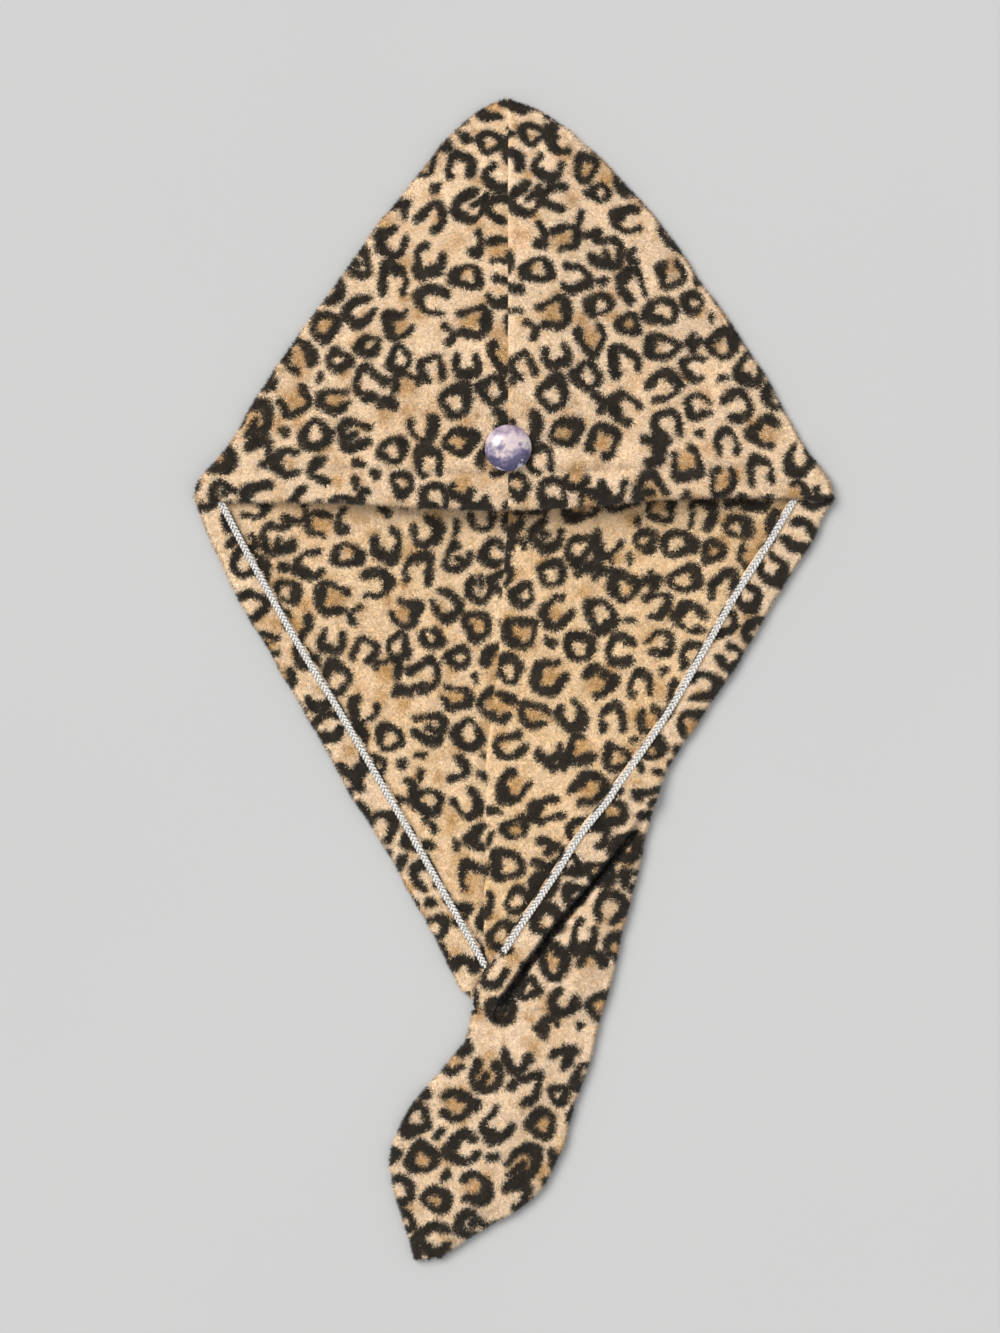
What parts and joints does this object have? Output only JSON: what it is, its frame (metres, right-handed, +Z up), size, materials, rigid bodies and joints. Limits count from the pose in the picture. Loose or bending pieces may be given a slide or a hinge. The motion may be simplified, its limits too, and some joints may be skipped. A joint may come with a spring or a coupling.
{
  "type": "hair turban towel",
  "caption": "Leopard print fleece hair turban laid flat: hollow seamed hood with a turned-under front edge, hemmed triangular opening, pearly button and a folded tail.",
  "frame": {"origin": "centre of the bounding box in plan, at the flat underside", "axes": "+Y from the tail to the hood's tip, +Z up from the floor through the button side, +X to the wearer's side with the tail's fold"},
  "size_m": [0.3186, 0.5798, 0.028],
  "materials": {
    "left_panel": "coral fleece with a printed leopard pattern",
    "right_panel": "coral fleece with a printed leopard pattern",
    "front_hem": "coral fleece with a printed leopard pattern",
    "left_hem": "coral fleece with a printed leopard pattern",
    "right_hem": "coral fleece with a printed leopard pattern",
    "left_overlock": "pale overlock thread",
    "right_overlock": "pale overlock thread",
    "button": "pearly marbled resin"
  },
  "bodies": {
    "root": {"left_panel": "left_panel", "right_panel": "right_panel", "front_hem": "front_hem", "left_hem": "left_hem", "right_hem": "right_hem", "left_overlock": "left_overlock", "right_overlock": "right_overlock", "button": "button"}
  },
  "joints": []
}
